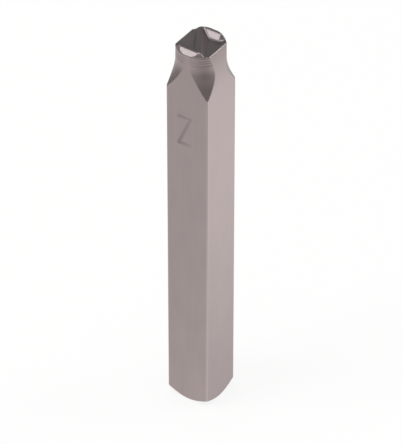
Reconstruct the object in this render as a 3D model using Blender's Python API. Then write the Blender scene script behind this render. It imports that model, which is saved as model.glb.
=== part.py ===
"""Steel letter punch, capital Z, as a Blender 4.5 model in metres.

The punch is one bar of tool steel. It stands on its struck end with the letter on top.
+Z runs from the struck end to the letter, -Y is the face that the user looks at, and the top
of the letter points to +Y. The letter is mirrored, so that its print reads the right way round.

The bar is shaped the way the real one is: a ground square bar, a neck and two ends turned in a
lathe, two flats ground beside the letter, and a letter relieved from the end face by sloping cuts
whose floors rise towards the flats.
"""

import math

import bmesh
import bpy
from mathutils import Vector

MM = 0.001

# Square bar
SHANK_WIDTH = 7.0 * MM
PUNCH_LENGTH = 63.0 * MM
EDGE_RADIUS = 0.3 * MM
EDGE_SEGMENTS = 3

# Turned ends and neck
STRUCK_FACE_RADIUS = 3.2 * MM
STRUCK_CHAMFER_ANGLE = math.radians(35.0)
NECK_LENGTH = 7.1 * MM
NECK_RADIUS = 3.55 * MM
NECK_SWEEP_RADIUS = 8.5 * MM
NOSE_RADIUS = 1.18 * MM
NOSE_HEIGHT = 0.9 * MM
TURNED_SIDES = 96
SWEEP_STEPS = 14
NOSE_STEPS = 5

# Two ground flats that sweep in from the shoulder to the end face, left and right of the letter
TIP_FLATS_WIDTH = 5.5 * MM
FLATS_STEPS = 8

# Letter on the end face
LETTER_HEIGHT = 5.85 * MM
LETTER_WIDTH = 3.35 * MM
LETTER_CENTRE_X = -0.175 * MM
LETTER_CENTRE_Y = 0.1 * MM
STROKE_WIDTH = 0.30 * MM
FLANK_ANGLE = math.radians(43.0)

# Floor of the cuts: level in the middle, rising towards both flats
RELIEF_DEPTH = 0.84 * MM
LEVEL_FLOOR_WIDTH = 3.0 * MM
FLOOR_RISE_ANGLE = math.radians(12.0)

# How far a cutting solid runs past what it cuts
CUT_OVERRUN = 2.0 * MM

STEEL_COLOUR = (0.31, 0.28, 0.28, 1.0)
STEEL_ROUGHNESS = 0.38


def clear_scene():
    """Remove every object that the scene holds."""
    for old in list(bpy.data.objects):
        bpy.data.objects.remove(old, do_unlink=True)


def new_object(name, bm):
    """Put a bmesh into a new object, with all its faces pointing out."""
    bmesh.ops.recalc_face_normals(bm, faces=bm.faces)
    mesh = bpy.data.meshes.new(name)
    bm.to_mesh(mesh)
    bm.free()
    obj = bpy.data.objects.new(name, mesh)
    bpy.context.scene.collection.objects.link(obj)
    return obj


def as_cutter(obj):
    """Mark an object as a shaping solid that is not part of the punch."""
    obj.hide_render = True
    obj.display_type = "WIRE"
    return obj


def combine(target, operand, operation):
    """Add a live Boolean of one object with another."""
    modifier = target.modifiers.new(f"{operation.lower()}_{operand.name}", "BOOLEAN")
    modifier.operation = operation
    modifier.solver = "EXACT"
    modifier.object = operand


def square_bar():
    """The ground bar, with its four long edges rounded."""
    bm = bmesh.new()
    bmesh.ops.create_cube(bm, size=1.0)
    bmesh.ops.scale(bm, vec=(SHANK_WIDTH, SHANK_WIDTH, PUNCH_LENGTH), verts=bm.verts)
    bmesh.ops.translate(bm, vec=(0.0, 0.0, PUNCH_LENGTH / 2), verts=bm.verts)
    long_edges = [e for e in bm.edges if abs((e.verts[0].co - e.verts[1].co).z) > PUNCH_LENGTH / 2]
    bmesh.ops.bevel(
        bm, geom=long_edges, offset=EDGE_RADIUS, offset_type="OFFSET",
        segments=EDGE_SEGMENTS, profile=0.5, affect="EDGES",
    )
    return new_object("letter_punch", bm)


def neck_profile(turned_radius):
    """Points (radius, height) from the struck end's centre to the letter end's centre."""
    chamfer_height = (turned_radius - STRUCK_FACE_RADIUS) * math.tan(STRUCK_CHAMFER_ANGLE)
    points = [(0.0, 0.0), (STRUCK_FACE_RADIUS, 0.0), (turned_radius, chamfer_height)]

    # The sweep is an arc that is upright where it meets the straight top of the neck
    corner_radius = math.hypot(SHANK_WIDTH / 2, SHANK_WIDTH / 2) - EDGE_RADIUS * (math.sqrt(2.0) - 1.0)
    corner_turn = math.acos(1.0 - (corner_radius - NECK_RADIUS) / NECK_SWEEP_RADIUS)
    sweep_turn = math.acos(1.0 - (turned_radius - NECK_RADIUS) / NECK_SWEEP_RADIUS)
    shoulder_height = PUNCH_LENGTH - NECK_LENGTH
    sweep_top = shoulder_height + NECK_SWEEP_RADIUS * math.sin(corner_turn)
    for step in range(SWEEP_STEPS + 1):
        turn = sweep_turn * (1.0 - step / SWEEP_STEPS)
        radius = NECK_RADIUS + NECK_SWEEP_RADIUS * (1.0 - math.cos(turn))
        points.append((radius, sweep_top - NECK_SWEEP_RADIUS * math.sin(turn)))

    # The nose rounds in to the end face, which it meets at a slope
    nose_start = PUNCH_LENGTH - NOSE_HEIGHT
    nose_turn = math.asin(NOSE_HEIGHT / NOSE_RADIUS)
    for step in range(NOSE_STEPS + 1):
        turn = nose_turn * step / NOSE_STEPS
        radius = NECK_RADIUS - NOSE_RADIUS * (1.0 - math.cos(turn))
        points.append((radius, nose_start + NOSE_RADIUS * math.sin(turn)))
    points.append((0.0, PUNCH_LENGTH))
    return points


def turned_form():
    """The round form that the lathe leaves: chamfered struck end, full body, swept neck, nose."""
    turned_radius = math.hypot(SHANK_WIDTH / 2, SHANK_WIDTH / 2) + CUT_OVERRUN / 4
    bm = bmesh.new()
    verts = [bm.verts.new((radius, 0.0, height)) for radius, height in neck_profile(turned_radius)]
    edges = [bm.edges.new(pair) for pair in zip(verts, verts[1:])]
    bmesh.ops.spin(
        bm, geom=verts + edges, cent=(0.0, 0.0, 0.0), axis=(0.0, 0.0, 1.0),
        angle=2.0 * math.pi, steps=TURNED_SIDES, use_merge=True,
    )
    bmesh.ops.remove_doubles(bm, verts=bm.verts, dist=0.001 * MM)
    return as_cutter(new_object("turned_form", bm))


def tapered_block(name, half_top, half_bottom, height):
    """A block on a level base whose sides lean in from the bottom to the top."""
    bm = bmesh.new()
    bmesh.ops.create_cube(bm, size=2.0)
    for vert in bm.verts:
        half = half_top if vert.co.z > 0.0 else half_bottom
        level = height if vert.co.z > 0.0 else 0.0
        vert.co = Vector((vert.co.x * half[0], vert.co.y * half[1], level))
    return new_object(name, bm)


def stroke_ridge(name, start, end):
    """One stroke of the letter: a straight ridge with a narrow flat top and sloping flanks."""
    run = Vector(end) - Vector(start)
    spread = RELIEF_DEPTH / math.tan(FLANK_ANGLE)
    half_top = (run.length / 2, STROKE_WIDTH / 2)
    half_bottom = (half_top[0] + spread, half_top[1] + spread)
    ridge = tapered_block(name, half_top, half_bottom, RELIEF_DEPTH)
    middle = (Vector(start) + Vector(end)) / 2
    ridge.rotation_euler.z = math.atan2(run.y, run.x)
    ridge.location = (middle.x, middle.y, PUNCH_LENGTH - RELIEF_DEPTH)
    return as_cutter(ridge)


def across_bar(name, right_side):
    """A form that is the same all along Y, from its right side's points (x, height) going up."""
    bm = bmesh.new()
    right = [bm.verts.new((x, -SHANK_WIDTH, height)) for x, height in right_side]
    left = [bm.verts.new((-x, -SHANK_WIDTH, height)) for x, height in reversed(right_side)]
    outline = bm.faces.new(right + left)
    extruded = bmesh.ops.extrude_face_region(bm, geom=[outline])
    moved = [item for item in extruded["geom"] if isinstance(item, bmesh.types.BMVert)]
    bmesh.ops.translate(bm, vec=(0.0, 2.0 * SHANK_WIDTH, 0.0), verts=moved)
    return as_cutter(new_object(name, bm))


def letter_relief():
    """Everything that the relief cuts leave: the body below them and the three strokes of the Z."""
    floor_height = PUNCH_LENGTH - RELIEF_DEPTH
    level_half = LEVEL_FLOOR_WIDTH / 2
    rise = (SHANK_WIDTH - level_half) * math.tan(FLOOR_RISE_ANGLE)
    body = [(SHANK_WIDTH, 0.0), (SHANK_WIDTH, floor_height + rise), (level_half, floor_height)]
    relief = across_bar("letter_relief", body)

    left_x = LETTER_CENTRE_X - LETTER_WIDTH / 2
    right_x = LETTER_CENTRE_X + LETTER_WIDTH / 2
    top_y = LETTER_CENTRE_Y + (LETTER_HEIGHT - STROKE_WIDTH) / 2
    bottom_y = LETTER_CENTRE_Y - (LETTER_HEIGHT - STROKE_WIDTH) / 2
    strokes = (
        ("stroke_top", (left_x, top_y), (right_x, top_y)),
        ("stroke_diagonal", (left_x, top_y), (right_x, bottom_y)),
        ("stroke_bottom", (left_x, bottom_y), (right_x, bottom_y)),
    )
    for name, start, end in strokes:
        combine(relief, stroke_ridge(name, start, end), "UNION")
    return relief


def tip_flats():
    """The form between the two ground flats, which follow a wheel that leaves the shank level."""
    depth = (SHANK_WIDTH - TIP_FLATS_WIDTH) / 2
    wheel_radius = (NECK_LENGTH ** 2 + depth ** 2) / (2.0 * depth)
    shoulder_height = PUNCH_LENGTH - NECK_LENGTH
    side = []
    for step in range(FLATS_STEPS + 1):
        rise = NECK_LENGTH * step / FLATS_STEPS
        drop = wheel_radius - math.sqrt(wheel_radius ** 2 - rise ** 2)
        side.append(Vector((SHANK_WIDTH / 2 - drop, shoulder_height + rise)))

    # The first and last chords run on, clear of the bar's lower end and of the end face
    foot = side[0] + (side[0] - side[1]).normalized() * PUNCH_LENGTH
    crown = side[-1] + (side[-1] - side[-2]).normalized() * CUT_OVERRUN
    return across_bar("tip_flats", [foot] + side[:-1] + [crown])


def steel():
    """Bare ground tool steel."""
    material = bpy.data.materials.new("ground_steel")
    material.use_nodes = True
    shader = material.node_tree.nodes["Principled BSDF"]
    shader.inputs["Base Color"].default_value = STEEL_COLOUR
    shader.inputs["Metallic"].default_value = 1.0
    shader.inputs["Roughness"].default_value = STEEL_ROUGHNESS
    return material


def build():
    """Make the punch from the bar, the turned form, the ground flats and the letter's relief."""
    clear_scene()
    punch = square_bar()
    for form in (turned_form(), tip_flats(), letter_relief()):
        combine(punch, form, "INTERSECT")
    punch.data.materials.append(steel())
    punch.data.shade_smooth()
    punch.data.set_sharp_from_angle(angle=math.radians(20.0))


build()
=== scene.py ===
"""Looks of a steel letter punch, capital Z, standing on its struck end with the letter on top.

The punch is one bar of tool steel: a ground square shank, a turned neck, and an end face whose
letter is left standing between sloping cuts. The same letter is stamped lightly into the face
that the user looks at. All lengths are in metres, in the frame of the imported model.
"""

import logging
import math
from dataclasses import dataclass
from enum import Enum
from typing import Optional

import bmesh
import bpy
import numpy as np
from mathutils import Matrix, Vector


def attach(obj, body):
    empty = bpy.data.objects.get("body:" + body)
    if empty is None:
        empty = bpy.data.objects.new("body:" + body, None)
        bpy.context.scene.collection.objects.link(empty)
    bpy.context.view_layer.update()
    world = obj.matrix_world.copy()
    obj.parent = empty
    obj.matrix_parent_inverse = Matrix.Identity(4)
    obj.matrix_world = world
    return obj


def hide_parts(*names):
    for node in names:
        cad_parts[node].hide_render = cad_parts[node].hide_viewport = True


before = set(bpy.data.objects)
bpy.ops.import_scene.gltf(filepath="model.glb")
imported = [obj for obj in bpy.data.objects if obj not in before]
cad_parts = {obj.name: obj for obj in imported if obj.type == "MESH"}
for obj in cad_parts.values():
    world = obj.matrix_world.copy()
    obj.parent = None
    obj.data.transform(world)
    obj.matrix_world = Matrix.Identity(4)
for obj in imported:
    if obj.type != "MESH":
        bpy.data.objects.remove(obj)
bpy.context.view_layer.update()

MM = 0.001
NODE = "letter_punch"

# Attributes of the punch's mesh that its finishes read
# Edge wear, with a painted highlight along the worn edges
EDGE_WEAR_AND_HIGHLIGHT = "edge_wear_and_highlight"
# Painted shade in the stamp's grooves, by their depth
PAINTED_STAMP_SHADE = "stamped"
# Painted shade on the neck's sweep
PAINTED_SWEEP_SHADE = "swept"

log = logging.getLogger("letter_punch")


class Zone(Enum):
    """The ways in which the steel's surfaces were made."""

    GROUND = "ground_steel"
    TURNED = "turned_steel"
    CUT = "cut_steel"


def linear(colour: str) -> tuple[float, float, float, float]:
    """Turn an sRGB hex colour into a linear RGBA colour.

    Args:
        colour: Six hex digits, with or without a leading #.

    Returns:
        The colour as Blender's sockets take it.
    """
    digits = colour.lstrip("#")
    channels = []
    for start in (0, 2, 4):
        value = int(digits[start:start + 2], 16) / 255.0
        channels.append(value / 12.92 if value <= 0.04045 else ((value + 0.055) / 1.055) ** 2.4)
    return (channels[0], channels[1], channels[2], 1.0)


def add_node(
    tree: bpy.types.NodeTree,
    kind: str,
    settings: Optional[dict] = None,
    links: Optional[dict] = None,
) -> bpy.types.Node:
    """Add one node, with its settings and what is linked into it.

    Args:
        tree: The node tree that gets the node.
        kind: The node's type, such as ShaderNodeMix.
        settings: Property or input socket to value. A socket is given by name or by index.
        links: Input socket, by name or by index, to the output socket that feeds it.

    Returns:
        The new node.
    """
    node = tree.nodes.new(kind)
    for key, value in (settings or {}).items():
        if isinstance(key, str) and hasattr(node, key):
            setattr(node, key, value)
        else:
            node.inputs[key].default_value = value
    for key, source in (links or {}).items():
        tree.links.new(source, node.inputs[key])
    return node


def in_mm(tree: bpy.types.NodeTree, size: tuple[float, float, float]) -> bpy.types.NodeSocket:
    """Scale object coordinates so that one unit of pattern is the given size.

    Args:
        tree: The material's node tree.
        size: The pattern's real size along X, Y and Z, in millimetres.

    Returns:
        The scaled vector's socket.
    """
    place = add_node(tree, "ShaderNodeTexCoord")
    scale = tuple(1.0 / (length * MM) for length in size)
    mapping = add_node(
        tree, "ShaderNodeMapping", {"vector_type": "POINT", "Scale": scale},
        {"Vector": place.outputs["Object"]},
    )
    return mapping.outputs["Vector"]


@dataclass(frozen=True)
class SteelFinish:
    """Bare tool steel with the marks of the tool that made the surface.

    Long marks give the eye a satin sheen that runs along them. Edges that handling has rubbed are
    paler, partly from wear and partly as a painted highlight, and painted shade darkens the stamp's
    grooves and the sweep. The patterns' sizes are in millimetres.
    The fine grain is drawn at 0.16 mm, because real grit of a third of that is too fine to show.
    """

    zone: Zone
    dark: str
    light: str
    roughness: float
    mark_size: tuple[float, float, float]
    mark_depth: float
    grain_size: tuple[float, float, float] = (0.16, 0.16, 0.16)
    cloud_size: tuple[float, float, float] = (3.0, 3.0, 6.0)
    grain_share: float = 0.35
    cloud_share: float = 0.5
    noise_range: tuple[float, float] = (0.3, 0.7)
    satin_spread: float = 0.05
    # Pale colour of worn edges, partly wear and partly a painted highlight, and its share
    worn_and_highlit: str = "#cfc5c4"
    wear_and_highlight: float = 0.3
    # Painted shade: its colour, the attribute that places it, and its share
    painted_shade: str = "#4a403f"
    painted_shade_where: str = PAINTED_STAMP_SHADE
    painted_shade_share: float = 0.38

    def material(self) -> bpy.types.Material:
        """Build the node material.

        Returns:
            The finished material, named for its zone.
        """
        material = bpy.data.materials.new(self.zone.value)
        material.use_nodes = True
        tree = material.node_tree
        shader = tree.nodes["Principled BSDF"]
        shader.inputs["Metallic"].default_value = 1.0

        # Size, detail and coarseness of the tool marks, the fine grain and the soft clouds of tone
        patterns = ((self.mark_size, 3.0, 0.6), (self.grain_size, 2.0, 0.5), (self.cloud_size, 2.0, 0.5))
        marks, grain, cloud = [
            add_node(
                tree, "ShaderNodeTexNoise",
                {"Scale": 1.0, "Detail": detail, "Roughness": coarseness},
                {"Vector": in_mm(tree, size)},
            )
            for size, detail, coarseness in patterns
        ]
        fine = add_node(
            tree, "ShaderNodeMix", {"data_type": "FLOAT", "Factor": self.grain_share},
            {"A": marks.outputs["Fac"], "B": grain.outputs["Fac"]},
        )
        tone = add_node(
            tree, "ShaderNodeMix", {"data_type": "FLOAT", "Factor": self.cloud_share},
            {"A": fine.outputs[0], "B": cloud.outputs["Fac"]},
        )
        tree.links.new(self.colour(tree, tone.outputs[0]), shader.inputs["Base Color"])

        low, high = self.noise_range
        satin = add_node(
            tree, "ShaderNodeMapRange",
            {"From Min": low, "From Max": high,
             "To Min": self.roughness - self.satin_spread, "To Max": self.roughness + self.satin_spread},
            {"Value": tone.outputs[0]},
        )
        tree.links.new(satin.outputs["Result"], shader.inputs["Roughness"])

        relief = add_node(
            tree, "ShaderNodeBump", {"Strength": 1.0, "Distance": self.mark_depth},
            {"Height": fine.outputs[0]},
        )
        tree.links.new(relief.outputs["Normal"], shader.inputs["Normal"])
        return material

    def colour(self, tree: bpy.types.NodeTree, tone: bpy.types.NodeSocket) -> bpy.types.NodeSocket:
        """Colour the steel by its tone, its worn edges with their painted highlight, and its painted
        shade.

        Args:
            tree: The material's node tree.
            tone: Socket of the noise that the colour follows.

        Returns:
            The colour's socket.
        """
        low, high = self.noise_range
        spread = add_node(
            tree, "ShaderNodeMapRange",
            {"From Min": low, "From Max": high, "To Min": 0.0, "To Max": 1.0}, {"Value": tone},
        )
        steel = add_node(
            tree, "ShaderNodeMix",
            {"data_type": "RGBA", 6: linear(self.dark), 7: linear(self.light)},
            {"Factor": spread.outputs["Result"]},
        )
        # Worn edges are paler, from wear and from a painted highlight
        edge = add_node(tree, "ShaderNodeAttribute", {"attribute_name": EDGE_WEAR_AND_HIGHLIGHT})
        shine = add_node(
            tree, "ShaderNodeMath", {"operation": "MULTIPLY", 1: self.wear_and_highlight}, {0: edge.outputs["Fac"]},
        )
        rubbed_and_highlit = add_node(
            tree, "ShaderNodeMix", {"data_type": "RGBA", 7: linear(self.worn_and_highlit)},
            {"Factor": shine.outputs[0], 6: steel.outputs[2]},
        )
        # Painted shade darkens the stamp's grooves and the sweep
        place = add_node(tree, "ShaderNodeAttribute", {"attribute_name": self.painted_shade_where})
        painted_shade = add_node(
            tree, "ShaderNodeMath", {"operation": "MULTIPLY", 1: self.painted_shade_share},
            {0: place.outputs["Fac"]},
        )
        colour = add_node(
            tree, "ShaderNodeMix", {"data_type": "RGBA", 7: linear(self.painted_shade)},
            {"Factor": painted_shade.outputs[0], 6: rubbed_and_highlit.outputs[2]},
        )
        return colour.outputs[2]


FINISHES = {
    # Surface-ground flats: straight lines along the bar give a satin sheen that runs with them. Real
    # lines are some 0.05 mm wide, too fine to show, and are drawn 0.4 mm wide
    Zone.GROUND: SteelFinish(
        Zone.GROUND, "#9f9292", "#ab9e9d", 0.38, (0.4, 0.4, 9.0), 0.0012 * MM,
    ),
    # Lathe-turned neck and struck end: fine rings round the axis, so the marks are thin along Z and
    # the sheen runs round. They are drawn 0.12 mm wide, about twice as coarse as a fine feed leaves
    # them. The sweep, where the tool cut into the square bar's corners, is darkened with painted shade
    Zone.TURNED: SteelFinish(
        Zone.TURNED, "#968988", "#a79a99", 0.34, (2.5, 2.5, 0.12), 0.002 * MM,
        painted_shade_where=PAINTED_SWEEP_SHADE, painted_shade_share=0.3,
    ),
    # Letter cut with a small tool and hardened: darker, with marks that run in no direction. They
    # are drawn 0.3 mm wide, coarse enough to show
    Zone.CUT: SteelFinish(
        Zone.CUT, "#736b6b", "#817979", 0.32, (0.3, 0.3, 0.3), 0.002 * MM,
    ),
}


def mesh_object(name: str, bm: bmesh.types.BMesh, materials: list[bpy.types.Material]) -> bpy.types.Object:
    """Turn a bmesh into an object at the origin.

    Args:
        name: The object's name.
        bm: The mesh, which is freed.
        materials: Its material slots, in order.

    Returns:
        The new object.
    """
    mesh = bpy.data.meshes.new(name)
    bm.to_mesh(mesh)
    bm.free()
    for material in materials:
        mesh.materials.append(material)
    obj = bpy.data.objects.new(name, mesh)
    bpy.context.scene.collection.objects.link(obj)
    return obj


def round_max(a: np.ndarray, b: np.ndarray, radius: float | np.ndarray) -> np.ndarray:
    """Measure the distance to what two forms share, with their common edge rounded.

    Args:
        a: Distances to the first form, negative inside.
        b: Distances to the second form.
        radius: The edge's radius, one for all points or one for each.

    Returns:
        Distances to the shared form.
    """
    over_a = np.maximum(a + radius, 0.0)
    over_b = np.maximum(b + radius, 0.0)
    return np.minimum(np.maximum(a, b), -radius) + np.hypot(over_a, over_b)


def round_min(a: np.ndarray, b: np.ndarray, radius: float | np.ndarray) -> np.ndarray:
    """Measure the distance to two forms joined, with a fillet between them."""
    return -round_max(-a, -b, radius)


def beside_run(p: np.ndarray, start: Vector, end: Vector) -> tuple[np.ndarray, np.ndarray]:
    """Measure how far flat points lie from a straight run, and how far along it.

    Args:
        p: The points, one row each.
        start: One end of the run.
        end: Its other end.

    Returns:
        The distances, and each point's share of the way from the start to the end.
    """
    run = np.array(end - start)
    away = p - np.array(start)
    share = np.clip(away @ run / (run @ run), 0.0, 1.0)
    rest = away - share[:, None] * run
    return np.hypot(rest[:, 0], rest[:, 1]), share


def from_middle(p: np.ndarray, start: Vector, end: Vector) -> tuple[np.ndarray, np.ndarray]:
    """Measure how far flat points lie from the middle of a straight run.

    Args:
        p: The points, one row each.
        start: One end of the run.
        end: Its other end.

    Returns:
        The distances along the run, and those across it, none of them negative.
    """
    run = np.array((end - start).normalized())
    away = p - np.array((start + end) / 2)
    across = away[:, 0] * run[1] - away[:, 1] * run[0]
    return np.abs(away @ run), np.abs(across)


@dataclass(frozen=True)
class SquareBar:
    """The ground square bar with rounded long edges."""

    width: float = 7.0 * MM
    length: float = 63.0 * MM
    edge_radius: float = 0.3 * MM
    edge_focus: float = 2.5

    def distance(self, p: np.ndarray) -> np.ndarray:
        """Measure how far points lie from the bar's sides.

        Args:
            p: The points, one row each.

        Returns:
            The distances, negative inside.
        """
        inner = self.width / 2 - self.edge_radius
        beyond = np.abs(p[:, :2]) - inner
        outside = np.hypot(np.maximum(beyond[:, 0], 0.0), np.maximum(beyond[:, 1], 0.0))
        return outside + np.minimum(beyond.max(axis=1), 0.0) - self.edge_radius

    def roundness(self, p: np.ndarray) -> np.ndarray:
        """Give 1 at points in the middle of a rounded long edge, and 0 on the flats."""
        beyond = np.abs(p[:, :2]) - (self.width / 2 - self.edge_radius)
        return np.clip(self.edge_focus * beyond.min(axis=1) / self.edge_radius, 0.0, 1.0)


@dataclass(frozen=True)
class TurnedForm:
    """What the lathe leaves: swept neck, rounded nose and chamfered struck end.

    The sweep's reach is a share of its radius. Painted shade darkens the sweep over its first few
    degrees and keeps it dark down to the bar's flats. The depths of the tool's three fine rings are
    measured from the end face.
    """

    bar: SquareBar = SquareBar()
    neck_length: float = 7.1 * MM
    neck_radius: float = 3.55 * MM
    sweep_radius: float = 8.5 * MM
    sweep_reach: float = 0.9
    nose_radius: float = 1.18 * MM
    nose_height: float = 0.9 * MM
    struck_radius: float = 3.2 * MM
    struck_angle: float = math.radians(35.0)
    struck_edge: float = 0.15 * MM
    # Painted shade on the sweep: the turn over which it grows, the depth below the bar's flats at which it
    # is full, and its largest share
    sweep_shade_turn: float = math.radians(9.0)
    sweep_shade_depth: float = 0.015 * MM
    sweep_shade_most: float = 0.9
    ring_depths: tuple[float, ...] = (1.15 * MM, 1.5 * MM, 1.9 * MM)
    ring_cut: float = 0.035 * MM
    ring_width: float = 0.13 * MM

    @property
    def sweep_top(self) -> float:
        """Find where the straight neck passes into the sweep.

        Returns:
            Its height.
        """
        half = self.bar.width / 2
        corner = math.hypot(half, half) - self.bar.edge_radius * (math.sqrt(2.0) - 1.0)
        turn = math.acos(1.0 - (corner - self.neck_radius) / self.sweep_radius)
        return self.bar.length - self.neck_length + self.sweep_radius * math.sin(turn)

    def distance(self, p: np.ndarray) -> np.ndarray:
        """Measure how far points lie from the nose, the neck and its sweep.

        Args:
            p: The points, one row each.

        Returns:
            The distances, negative inside.
        """
        radius = np.hypot(p[:, 0], p[:, 1])
        z = p[:, 2]
        neck = radius - self.neck_radius
        wheel = self.neck_radius + self.sweep_radius
        sweep = self.sweep_radius - np.hypot(radius - wheel, z - self.sweep_top)
        nose_start = self.bar.length - self.nose_height
        nose_centre = self.neck_radius - self.nose_radius
        nose = np.hypot(np.maximum(radius - nose_centre, 0.0), z - nose_start) - self.nose_radius
        side = np.where(z > nose_start, nose, np.where(z < self.sweep_top, sweep, neck))

        # Below the sweep the lathe leaves the square bar alone
        sweep_end = self.sweep_top - self.sweep_reach * self.sweep_radius
        side = np.where(z < sweep_end, radius - 2 * self.bar.width, side)
        for depth in self.ring_depths:
            away = (z - (self.bar.length - depth)) / self.ring_width
            side = side + self.ring_cut * np.exp(-away ** 2)
        return side

    def sweep_shade(self, p: np.ndarray) -> np.ndarray:
        """Tell how much painted shade darkens the sweep.

        Args:
            p: Points on the surface, one row each.

        Returns:
            The share of painted shade, 0 on the neck and on the bar's flats.
        """
        turn = np.arcsin(np.clip((self.sweep_top - p[:, 2]) / self.sweep_radius, 0.0, 1.0))
        share = np.clip(turn / self.sweep_shade_turn, 0.0, 1.0)
        below = np.clip(-self.bar.distance(p) / self.sweep_shade_depth, 0.0, 1.0)
        return self.sweep_shade_most * below * share * share * (3.0 - 2.0 * share)

    def struck_end(self, p: np.ndarray) -> np.ndarray:
        """Measure how far points lie from the struck end's flat and its chamfer.

        Args:
            p: The points, one row each.

        Returns:
            The distances, negative inside.
        """
        radius = np.hypot(p[:, 0], p[:, 1])
        out = (radius - self.struck_radius) * math.sin(self.struck_angle)
        chamfer = out - p[:, 2] * math.cos(self.struck_angle)
        return round_max(chamfer, -p[:, 2], self.struck_edge)


@dataclass(frozen=True)
class GroundFlats:
    """Two flats left and right of the letter, ground by a wheel that leaves the shank level.

    The width is what is left between them at the end face.
    """

    bar: SquareBar = SquareBar()
    length: float = 7.1 * MM
    width: float = 5.5 * MM

    def distance(self, p: np.ndarray) -> np.ndarray:
        """Measure how far points lie from the form between the flats.

        Args:
            p: The points, one row each.

        Returns:
            The distances, negative inside.
        """
        depth = (self.bar.width - self.width) / 2
        wheel = (self.length ** 2 + depth ** 2) / (2.0 * depth)
        rise = np.maximum(p[:, 2] - (self.bar.length - self.length), 0.0)
        return np.hypot(np.abs(p[:, 0]) - (self.bar.width / 2 - wheel), rise) - wheel


@dataclass(frozen=True)
class LetterRelief:
    """The mirrored Z, left standing between sloping cuts on the end face.

    The cuts' floor is level in the middle and rises towards both flats.
    """

    top: float = 63.0 * MM
    height: float = 5.85 * MM
    width: float = 3.35 * MM
    centre: tuple[float, float] = (-0.175 * MM, 0.1 * MM)
    stroke: float = 0.30 * MM
    depth: float = 0.84 * MM
    flank: float = math.radians(43.0)
    rise_start: float = 1.5 * MM
    rise: float = math.radians(12.0)
    stroke_edge: float = 0.06 * MM
    valley: float = 0.16 * MM

    def strokes(self) -> list[tuple[Vector, Vector]]:
        """Place the middle lines of the top bar, the diagonal and the bottom bar.

        Returns:
            The start and the end of each.
        """
        x = self.width / 2
        y = (self.height - self.stroke) / 2
        middle = Vector(self.centre)
        corners = [middle + Vector(corner) for corner in ((x, y), (-x, y), (x, -y), (-x, -y))]
        return list(zip(corners, corners[1:]))

    def distance(self, p: np.ndarray) -> np.ndarray:
        """Measure how far points lie from the body below the cuts with its three ridges.

        Args:
            p: The points, one row each.

        Returns:
            The distances, negative inside.
        """
        below = p[:, 2] - self.top
        floor = below + self.depth
        side = floor * math.cos(self.rise) - (np.abs(p[:, 0]) - self.rise_start) * math.sin(self.rise)
        relief = round_min(floor, side, self.valley)
        for start, end in self.strokes():
            along, across = from_middle(p[:, :2], start, end)
            ends = along - (end - start).length / 2
            beyond = round_max(ends, across - self.stroke / 2, self.stroke_edge)
            ridge = beyond * math.sin(self.flank) + below * math.cos(self.flank)
            relief = round_min(relief, ridge, self.valley)
        return round_max(relief, below, self.stroke_edge)


@dataclass(frozen=True)
class SideStamp:
    """The shallow Z struck into the marked face, with metal pushed up beside its grooves.

    The lip's place and spread are in half grooves from the middle of the groove. The forces are
    those at the corners, in the order in which they follow along the letter.
    """

    face_y: float = -3.5 * MM
    height: float = 4.6 * MM
    width: float = 2.0 * MM
    centre: tuple[float, float] = (-0.35 * MM, 49.4 * MM)
    forces: tuple[float, ...] = (0.65, 0.5, 1.0, 0.3)
    half_groove: float = 0.27 * MM
    groove_power: float = 2.4
    depth: float = 0.065 * MM
    lip: float = 0.03 * MM
    lip_place: float = 1.9
    lip_spread: float = 0.6
    margin: float = 1.0 * MM
    face_slack: float = 0.005 * MM
    border_slack: float = 0.01 * MM
    rows: int = 96

    @property
    def window(self) -> tuple[float, float, float, float]:
        """Find the stretch of face that the stamp changes.

        Returns:
            Its left, right, lower and upper limit.
        """
        x, z = self.centre
        half_w = self.width / 2 + self.margin
        half_h = self.height / 2 + self.margin
        return (x - half_w, x + half_w, z - half_h, z + half_h)

    def corners(self) -> list[Vector]:
        """Place the corners of the Z.

        Returns:
            The corners along the letter, from the upper left one.
        """
        half_w = self.width / 2
        half_h = self.height / 2
        middle = Vector(self.centre)
        corners = [(-half_w, half_h), (half_w, half_h), (-half_w, -half_h), (half_w, -half_h)]
        return [middle + Vector(corner) for corner in corners]

    def sink(self, p: np.ndarray) -> np.ndarray:
        """Work out how far the face sinks.

        Args:
            p: Points on the face, one row each.

        Returns:
            Depths below the ground face, negative where a lip stands up beside a groove.
        """
        groove = np.zeros(len(p))
        ridge = np.zeros(len(p))
        ends = list(zip(self.corners(), self.forces))
        for (start, first), (end, last) in zip(ends, ends[1:]):
            away, share = beside_run(p[:, [0, 2]], start, end)
            ratio = away / self.half_groove
            force = first + (last - first) * share
            groove = np.maximum(groove, force * np.exp(-ratio ** self.groove_power))
            swell = np.exp(-((ratio - self.lip_place) / self.lip_spread) ** 2)
            ridge = np.maximum(ridge, force * swell)
        return self.depth * groove - self.lip * ridge * (1.0 - groove)


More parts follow.
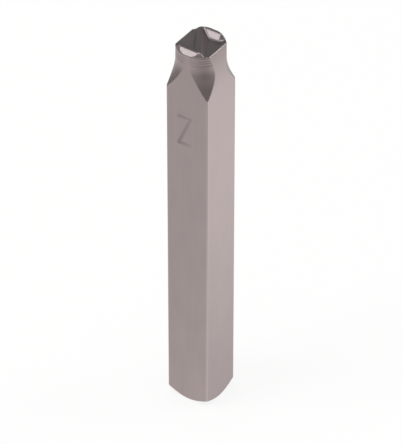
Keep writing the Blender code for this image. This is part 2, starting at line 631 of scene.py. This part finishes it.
@dataclass(frozen=True)
class LetterPunch:
    """The whole punch, drawn as one skin that is pulled onto the form that the tools leave.

    The breaks are the radii of its edges, and an edge that has lost the wear depth shows full wear
    and a full painted highlight.
    The fields from the columns on say how the skin is divided and what its points aim at before
    they are pulled.
    """

    bar: SquareBar = SquareBar()
    turned: TurnedForm = TurnedForm()
    flats: GroundFlats = GroundFlats()
    letter: LetterRelief = LetterRelief()
    stamp: SideStamp = SideStamp()
    corner_break: float = 0.05 * MM
    flat_break: float = 0.03 * MM
    rim_break: float = 0.06 * MM
    left_break: float = 0.12 * MM
    right_break: float = 0.28 * MM
    foot_break: float = 0.12 * MM
    wear_and_highlight_depth: float = 0.084 * MM
    columns: int = 112
    head_rows: int = 62
    neck_rows: int = 50
    foot_rows: int = 12
    halvings: int = 34
    head_middle: float = 4.0 * MM
    foot_middle: float = 1.5 * MM
    aim_past: float = 0.05 * MM
    below_sweep: float = 0.5 * MM
    shank_heights: tuple[float, ...] = (30.0 * MM, 15.0 * MM, 3.0 * MM)
    foot_reach: float = 5.25 * MM
    foot_middle_reach: float = 2.9 * MM

    def wall(self, p: np.ndarray) -> np.ndarray:
        """Measure the distance to the bar, the turned neck and the ground flats together."""
        side = round_max(self.bar.distance(p), self.turned.distance(p), self.corner_break)
        return round_max(side, self.flats.distance(p), self.flat_break)

    def distance(self, p: np.ndarray) -> np.ndarray:
        """Measure how far points lie from the whole punch without its side stamp.

        Args:
            p: The points, one row each.

        Returns:
            The distances, negative inside.
        """
        letter = self.letter.distance(p)
        body = round_max(self.wall(p), letter, self.rim_break)
        side_break = np.where(p[:, 0] < 0.0, self.left_break, self.right_break)
        body = np.maximum(body, round_max(self.flats.distance(p), letter, side_break))
        return round_max(body, self.turned.struck_end(p), self.foot_break)

    def rows(self) -> list[tuple[float, float]]:
        """Work out what each ring of the skin aims at, from the rim down to the foot.

        Returns:
            Radius and height of each ring's aim.
        """
        _, _, low, high = self.stamp.window
        top = self.bar.length
        heights = [top - self.head_middle * step / self.head_rows for step in range(self.head_rows + 1)]
        start = heights[-1]
        drop = start - (top - self.turned.neck_length - self.below_sweep)
        heights += [start - drop * step / self.neck_rows for step in range(1, self.neck_rows + 1)]
        heights += [high, low, *self.shank_heights]
        reach = self.turned.neck_radius + self.aim_past
        rows = [(reach, height) for height in heights]

        steps = range(self.foot_rows + 1)
        rows += [(self.foot_reach, self.foot_middle * (1.0 - step / self.foot_rows)) for step in steps]
        inward = self.foot_reach - self.foot_middle_reach
        rows += [(self.foot_reach - inward * step / self.foot_rows, 0.0) for step in steps[1:]]
        return rows

    def skin(self) -> bmesh.types.BMesh:
        """Make a square grid, with a ring extruded from its border for each row and a closed foot.

        Returns:
            The mesh. Its X and Y still run from -1 to 1, and its Z counts the rows downwards.
        """
        bm = bmesh.new()
        bmesh.ops.create_grid(bm, x_segments=self.columns, y_segments=self.columns, size=1.0)
        border = [edge for edge in bm.edges if edge.is_boundary]
        for _ in self.rows()[1:]:
            extruded = bmesh.ops.extrude_edge_only(bm, edges=border)["geom"]
            border = [item for item in extruded if isinstance(item, bmesh.types.BMEdge)]
            border = [edge for edge in border if edge.is_boundary]
            ring = {vert for edge in border for vert in edge.verts}
            bmesh.ops.translate(bm, vec=(0.0, 0.0, -1.0), verts=list(ring))
        bmesh.ops.edgeloop_fill(bm, edges=border)
        return bm

    def shape(self, bm: bmesh.types.BMesh) -> None:
        """Pull the skin onto the punch's surface, along straight lines from inside it.

        Args:
            bm: The skin.
        """
        flat = np.array([vert.co[:] for vert in bm.verts])
        level = np.rint(-flat[:, 2]).astype(int)
        rows = np.array(self.rows())
        reach = rows[level, 0] * np.abs(flat[:, :2]).max(axis=1)

        # The grid's middle has no direction, so its length is kept above zero
        length = np.maximum(np.hypot(flat[:, 0], flat[:, 1]), 1e-9)
        aim = np.empty_like(flat)
        aim[:, :2] = flat[:, :2] / length[:, None] * reach[:, None]
        aim[:, 2] = rows[level, 1]
        start = np.zeros_like(flat)
        start[:, 2] = np.clip(aim[:, 2], self.foot_middle, self.bar.length - self.head_middle)
        run = aim - start
        run /= np.linalg.norm(run, axis=1)[:, None]

        # Halving the stretch between a point inside and one outside finds the surface
        near = np.zeros(len(flat))
        far = np.full(len(flat), 2.0 * self.bar.width)
        for _ in range(self.halvings):
            middle = (near + far) / 2
            inside = self.distance(start + run * middle[:, None]) < 0.0
            near = np.where(inside, middle, near)
            far = np.where(inside, far, middle)
        for vert, place in zip(bm.verts, start + run * near[:, None]):
            vert.co = place

    def press_stamp(self, bm: bmesh.types.BMesh) -> None:
        """Divide the marked face where the stamp is, and press the grooves into it.

        Args:
            bm: The shaped skin.
        """
        left, right, low, high = self.stamp.window
        slack = self.stamp.border_slack

        def on_face(vert: bmesh.types.BMVert) -> bool:
            """Tell whether a point lies on the marked face between the window's sides."""
            return abs(vert.co.y - self.stamp.face_y) < self.stamp.face_slack and left < vert.co.x < right

        tall = [
            edge for edge in bm.edges
            if all(on_face(vert) for vert in edge.verts)
            and abs(min(vert.co.z for vert in edge.verts) - low) < slack
            and abs(max(vert.co.z for vert in edge.verts) - high) < slack
        ]
        bmesh.ops.subdivide_edges(bm, edges=tall, cuts=self.stamp.rows, use_grid_fill=True)
        # Each groove's depth sets its painted shade
        stamp_shade_layer = bm.verts.layers.float.new(PAINTED_STAMP_SHADE)
        pressed = [
            vert for vert in bm.verts
            if on_face(vert) and low + slack < vert.co.z < high - slack
        ]
        sink = self.stamp.sink(np.array([vert.co[:] for vert in pressed]))
        for vert, depth in zip(pressed, sink):
            vert.co.y += depth
            vert[stamp_shade_layer] = max(0.0, depth / self.stamp.depth)

    def dress(self, bm: bmesh.types.BMesh) -> None:
        """Give each face the finish of the tool that made it, and mark the worn edges with their painted
        highlight and the sweep with its painted shade.

        Args:
            bm: The shaped skin.
        """
        zones = list(Zone)
        bm.faces.ensure_lookup_table()
        centres = np.array([face.calc_center_median()[:] for face in bm.faces])
        turned = np.maximum(self.turned.distance(centres), self.turned.struck_end(centres))
        ground = np.maximum(self.bar.distance(centres), self.flats.distance(centres))
        depths = {Zone.GROUND: ground, Zone.TURNED: turned, Zone.CUT: self.letter.distance(centres)}
        nearest = np.argmax(np.stack([depths[zone] for zone in zones]), axis=0)
        for face, index in zip(bm.faces, nearest):
            face.material_index = int(index)
            face.smooth = True

        wear_and_highlight = bm.verts.layers.float.new(EDGE_WEAR_AND_HIGHLIGHT)
        # Painted shade on the sweep, which the turned finish reads
        swept = bm.verts.layers.float.new(PAINTED_SWEEP_SHADE)
        places = np.array([vert.co[:] for vert in bm.verts])
        crisp = np.maximum(self.wall(places), self.letter.distance(places))
        worn_and_highlit = np.clip((self.distance(places) - crisp) / self.wear_and_highlight_depth, 0.0, 1.0)
        # The bar's rounded long edges are lightened along their middle: a painted highlight
        worn_and_highlit = np.maximum(worn_and_highlit, self.bar.roundness(places))
        for vert, amount, sweep_shade_amount in zip(bm.verts, worn_and_highlit, self.turned.sweep_shade(places)):
            vert[wear_and_highlight] = amount
            vert[swept] = sweep_shade_amount

    def build(self) -> bpy.types.Object:
        """Make the punch, stand it in for its CAD node and let it ride on the body.

        Returns:
            The finished piece.
        """
        bm = self.skin()
        self.shape(bm)
        bmesh.ops.recalc_face_normals(bm, faces=bm.faces)
        self.press_stamp(bm)
        self.dress(bm)
        materials = [FINISHES[zone].material() for zone in Zone]
        punch = mesh_object("punch_body", bm, materials)
        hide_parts(NODE)
        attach(punch, "root")
        return punch


@dataclass(frozen=True)
class Fade:
    """A level that changes smoothly while a value passes from the start to the end of a span."""

    start: float
    end: float
    before: float
    after: float

    def settings(self) -> dict:
        """Give the settings of the Map Range node that makes the change.

        Returns:
            Property or input socket to value.
        """
        return {
            "interpolation_type": "SMOOTHSTEP", "From Min": self.start, "From Max": self.end,
            "To Min": self.before, "To Max": self.after,
        }


@dataclass(frozen=True)
class Softbox:
    """A square soft lamp that faces the punch, with its power in watts."""

    name: str
    place: tuple[float, float, float]
    size: float
    power: float
    aim: tuple[float, float, float] = (0.0, 0.0, 0.04)

    def build(self) -> None:
        """Add the lamp to the scene."""
        data = bpy.data.lights.new(self.name, "AREA")
        data.shape = "SQUARE"
        data.size = self.size
        data.energy = self.power
        lamp = bpy.data.objects.new(self.name, data)
        lamp.location = self.place
        way = Vector(self.aim) - Vector(self.place)
        lamp.rotation_euler = way.to_track_quat("-Z", "Y").to_euler()
        bpy.context.scene.collection.objects.link(lamp)


@dataclass(frozen=True)
class Studio:
    """A white floor, a pale room and soft lamps.

    The camera sees white all round. In reflections the floor glows with a painted pool of light
    behind the punch at the right, and painted shade dims it with the distance, in front at the right
    and on the left. The horizon dims on the left and at the front right too, so that each face of the
    steel has its own tone.
    The glow share is the part of the floor's white that is its own light. The rest is lit by the
    lamps and keeps the punch's shadow.
    """

    floor_size: float = 4.0
    glow_share: float = 0.85
    # Painted light and shade on the floor, seen only in reflections: a painted pool of light behind at the
    # right, painted shade in front at the right, and painted dimming to the left and far away
    floor_glow_place: tuple[float, float, float] = (0.075, 0.05, 0.0)
    window: Fade = Fade(0.0, 0.12, 1.75, 1.0)
    floor_shade_place: tuple[float, float, float] = (0.11, -0.08, 0.0)
    dim_spot: Fade = Fade(0.0, 0.125, 0.4, 1.0)
    left_side: Fade = Fade(-0.15, -0.085, 0.5, 1.0)
    far_floor: Fade = Fade(0.08, 0.18, 0.93, 0.7)
    room_level: float = 0.45
    horizon_height: float = 0.15
    horizon: Fade = Fade(-0.8, 0.0, 0.45, 0.9)
    horizon_flag: Fade = Fade(0.9, 1.35, 1.0, 0.35)
    softboxes: tuple[Softbox, ...] = (
        Softbox("key_softbox", (-0.52, -0.62, 0.66), 0.6, 4.5),
        Softbox("back_softbox", (0.75, 0.75, 0.65), 0.5, 2.2),
        Softbox("top_softbox", (0.0, 0.0, 1.3), 1.0, 7.0),
    )

    def build(self) -> None:
        """Make the floor, the world and the lamps."""
        self.floor()
        self.world()
        for softbox in self.softboxes:
            softbox.build()

    def floor(self) -> None:
        """Make a wide white floor that keeps the punch's soft shadow and is clear from below."""
        bm = bmesh.new()
        bmesh.ops.create_grid(bm, x_segments=1, y_segments=1, size=self.floor_size / 2)

        # Matt white card: plain and without gloss, so that only the shadow shows on it
        material = bpy.data.materials.new("white_floor")
        material.use_nodes = True
        tree = material.node_tree
        tree.nodes.clear()
        path = add_node(tree, "ShaderNodeLightPath")
        level = add_node(
            tree, "ShaderNodeMix", {"data_type": "FLOAT", "A": 1.0},
            {"Factor": path.outputs["Is Glossy Ray"], "B": self.floor_level(tree)},
        )
        bright = add_node(
            tree, "ShaderNodeEmission", {"Color": linear("#ffffff")}, {"Strength": level.outputs[0]},
        )

        # White to the camera and in reflections, and a matt white surface to all other light
        seen = path.outputs["Is Camera Ray"]
        for ray in ("Is Glossy Ray", "Is Transmission Ray"):
            either = add_node(
                tree, "ShaderNodeMath", {"operation": "MAXIMUM"}, {0: seen, 1: path.outputs[ray]},
            )
            seen = either.outputs[0]
        share = add_node(
            tree, "ShaderNodeMath", {"operation": "MULTIPLY", 1: self.glow_share}, {0: seen},
        )
        matt = add_node(tree, "ShaderNodeBsdfDiffuse", {"Color": linear("#f2f1f0")})
        mix = add_node(
            tree, "ShaderNodeMixShader", {},
            {0: share.outputs[0], 1: matt.outputs[0], 2: bright.outputs[0]},
        )
        side = add_node(tree, "ShaderNodeNewGeometry")
        clear = add_node(tree, "ShaderNodeBsdfTransparent")
        one_sided = add_node(
            tree, "ShaderNodeMixShader", {},
            {0: side.outputs["Backfacing"], 1: mix.outputs[0], 2: clear.outputs[0]},
        )
        add_node(tree, "ShaderNodeOutputMaterial", {}, {"Surface": one_sided.outputs[0]})
        floor = mesh_object("floor", bm, [material])

    def floor_level(self, tree: bpy.types.NodeTree) -> bpy.types.NodeSocket:
        """Work out the painted light and shade that the floor shows in reflections.

        Args:
            tree: The floor's node tree.

        Returns:
            The level's socket.
        """
        place = add_node(tree, "ShaderNodeTexCoord").outputs["Object"]
        axes = add_node(tree, "ShaderNodeSeparateXYZ", {}, {0: place})
        from_floor_glow, from_punch, from_floor_shade = [
            add_node(
                tree, "ShaderNodeVectorMath", {"operation": "DISTANCE", 1: centre}, {0: place},
            ).outputs["Value"]
            for centre in (self.floor_glow_place, (0.0, 0.0, 0.0), self.floor_shade_place)
        ]
        fades = (
            (self.window, from_floor_glow),
            (self.left_side, axes.outputs["X"]),
            (self.dim_spot, from_floor_shade),
            (self.far_floor, from_punch),
        )
        levels = [
            add_node(tree, "ShaderNodeMapRange", fade.settings(), {"Value": value}).outputs["Result"]
            for fade, value in fades
        ]
        product = levels[0]
        for level in levels[1:]:
            times = add_node(tree, "ShaderNodeMath", {"operation": "MULTIPLY"}, {0: product, 1: level})
            product = times.outputs[0]
        return product

    def world(self) -> None:
        """Make it white where the camera looks, with a pale horizon under a grey room in reflections."""
        world = bpy.data.worlds.new("room")
        bpy.context.scene.world = world
        world.use_nodes = True
        tree = world.node_tree
        tree.nodes.clear()
        place = add_node(tree, "ShaderNodeTexCoord")
        axes = add_node(tree, "ShaderNodeSeparateXYZ", {}, {0: place.outputs["Generated"]})
        front_right = add_node(
            tree, "ShaderNodeMath", {"operation": "SUBTRACT"},
            {0: axes.outputs["X"], 1: axes.outputs["Y"]},
        )
        horizon = add_node(
            tree, "ShaderNodeMapRange", self.horizon.settings(), {"Value": axes.outputs["X"]},
        )
        dim_spot = add_node(
            tree, "ShaderNodeMapRange", self.horizon_flag.settings(), {"Value": front_right.outputs[0]},
        )
        flagged = add_node(
            tree, "ShaderNodeMath", {"operation": "MULTIPLY"},
            {0: horizon.outputs["Result"], 1: dim_spot.outputs["Result"]},
        )
        level = add_node(
            tree, "ShaderNodeMapRange",
            {"From Min": 0.0, "From Max": self.horizon_height, "To Max": self.room_level},
            {"Value": axes.outputs["Z"], "To Min": flagged.outputs[0]},
        )
        path = add_node(tree, "ShaderNodeLightPath")
        clear = add_node(
            tree, "ShaderNodeMath", {"operation": "MAXIMUM"},
            {0: path.outputs["Is Camera Ray"], 1: path.outputs["Is Transmission Ray"]},
        )
        strength = add_node(
            tree, "ShaderNodeMix", {"data_type": "FLOAT", "B": 1.0},
            {"Factor": clear.outputs[0], "A": level.outputs["Result"]},
        )
        background = add_node(
            tree, "ShaderNodeBackground", {"Color": linear("#ffffff")},
            {"Strength": strength.outputs[0]},
        )
        add_node(tree, "ShaderNodeOutputWorld", {}, {"Surface": background.outputs[0]})


@dataclass(frozen=True)
class PhotoCamera:
    """The photograph's viewpoint, from above the punch's front right corner."""

    azimuth: float = math.radians(34.5)
    elevation: float = math.radians(38.5)
    distance: float = 0.545
    lens: float = 310.0
    aim_height: float = 31.0 * MM

    def build(self) -> None:
        """Create the camera and make it the scene's."""
        data = bpy.data.cameras.new("photo_camera")
        data.lens = self.lens
        data.clip_start = 0.01
        data.clip_end = 20.0
        camera = bpy.data.objects.new("photo_camera", data)
        back = Vector((
            math.sin(self.azimuth) * math.cos(self.elevation),
            -math.cos(self.azimuth) * math.cos(self.elevation),
            math.sin(self.elevation),
        ))
        camera.location = Vector((0.0, 0.0, self.aim_height)) + back * self.distance
        camera.rotation_euler = (-back).to_track_quat("-Z", "Y").to_euler()
        bpy.context.scene.collection.objects.link(camera)
        bpy.context.scene.camera = camera


def main() -> None:
    """Build the punch, the studio and the camera."""
    logging.basicConfig(level=logging.INFO, format="%(message)s")
    bpy.context.scene.view_settings.view_transform = "Standard"
    punch = LetterPunch().build()
    log.info("%s: %d faces", punch.name, len(punch.data.polygons))
    Studio().build()
    log.info("studio: floor, room and softboxes")
    PhotoCamera().build()
    log.info("camera: the photograph's view")


if __name__ == "__main__":
    main()
